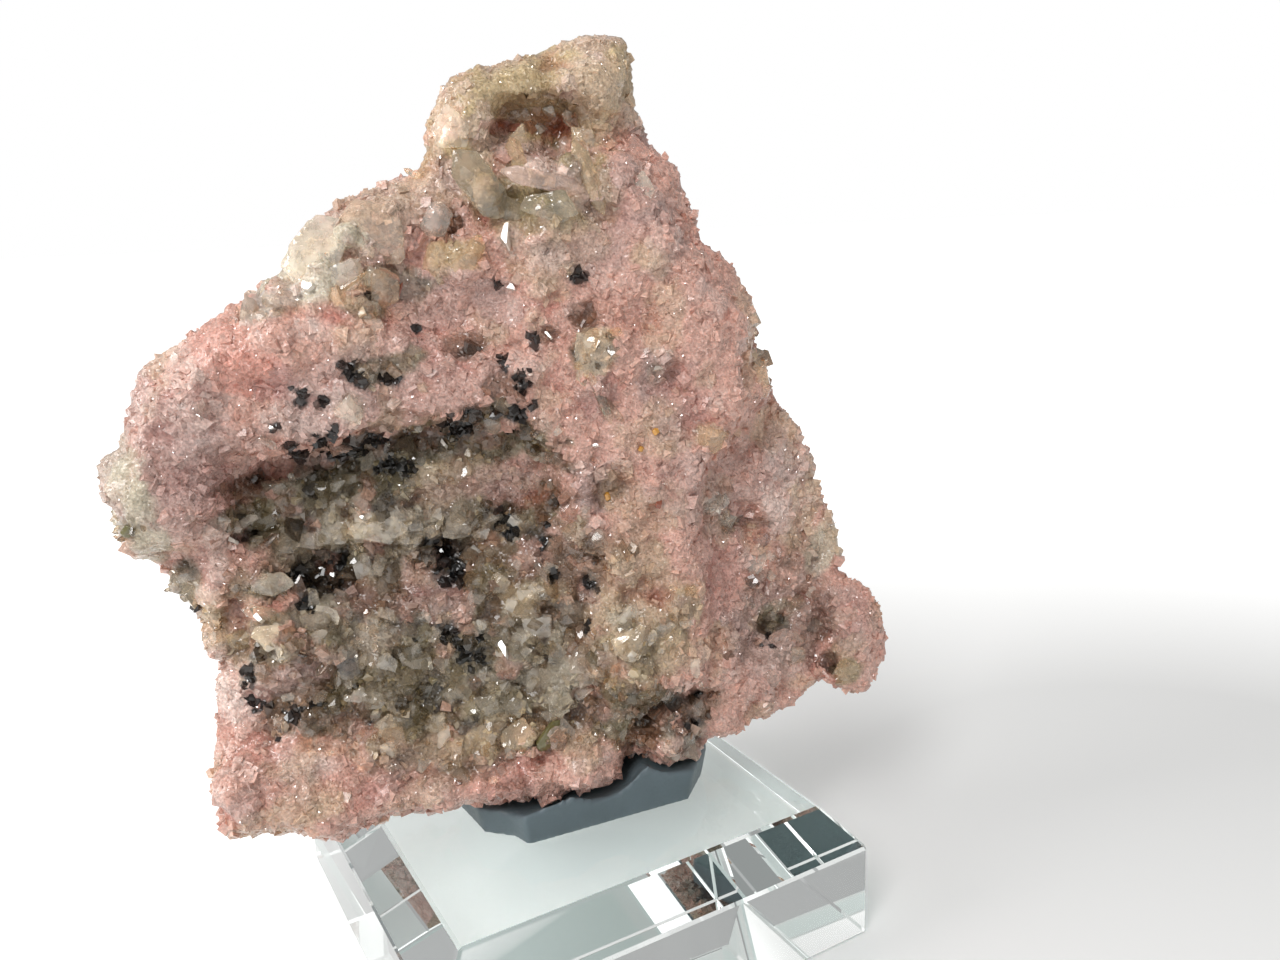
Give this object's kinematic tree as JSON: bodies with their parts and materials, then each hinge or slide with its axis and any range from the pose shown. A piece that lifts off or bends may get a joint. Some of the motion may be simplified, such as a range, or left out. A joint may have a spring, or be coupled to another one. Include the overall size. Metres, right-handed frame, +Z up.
{
  "type": "rhodochrosite specimen",
  "caption": "Sugary pink rhodochrosite with quartz and black sphalerite crystals, set in a wad of mineral putty on a bevelled clear glass display block.",
  "frame": {"origin": "centre of the glass block's underside, where the specimen rests on a table", "axes": "+Z up; -Y faces whoever looks at the display face; +X to the right of that view. The block's sides are turned 29.6 degrees from the axes, because the stone stands askew on it."},
  "size_m": [0.0787, 0.068, 0.0968],
  "materials": {
    "rhodochrosite": "satin",
    "mineral_putty": "matte",
    "clear_glass": "polished"
  },
  "bodies": {
    "root": {"rhodochrosite_rock": "rhodochrosite", "putty": "mineral_putty", "glass_block": "clear_glass"}
  },
  "joints": []
}
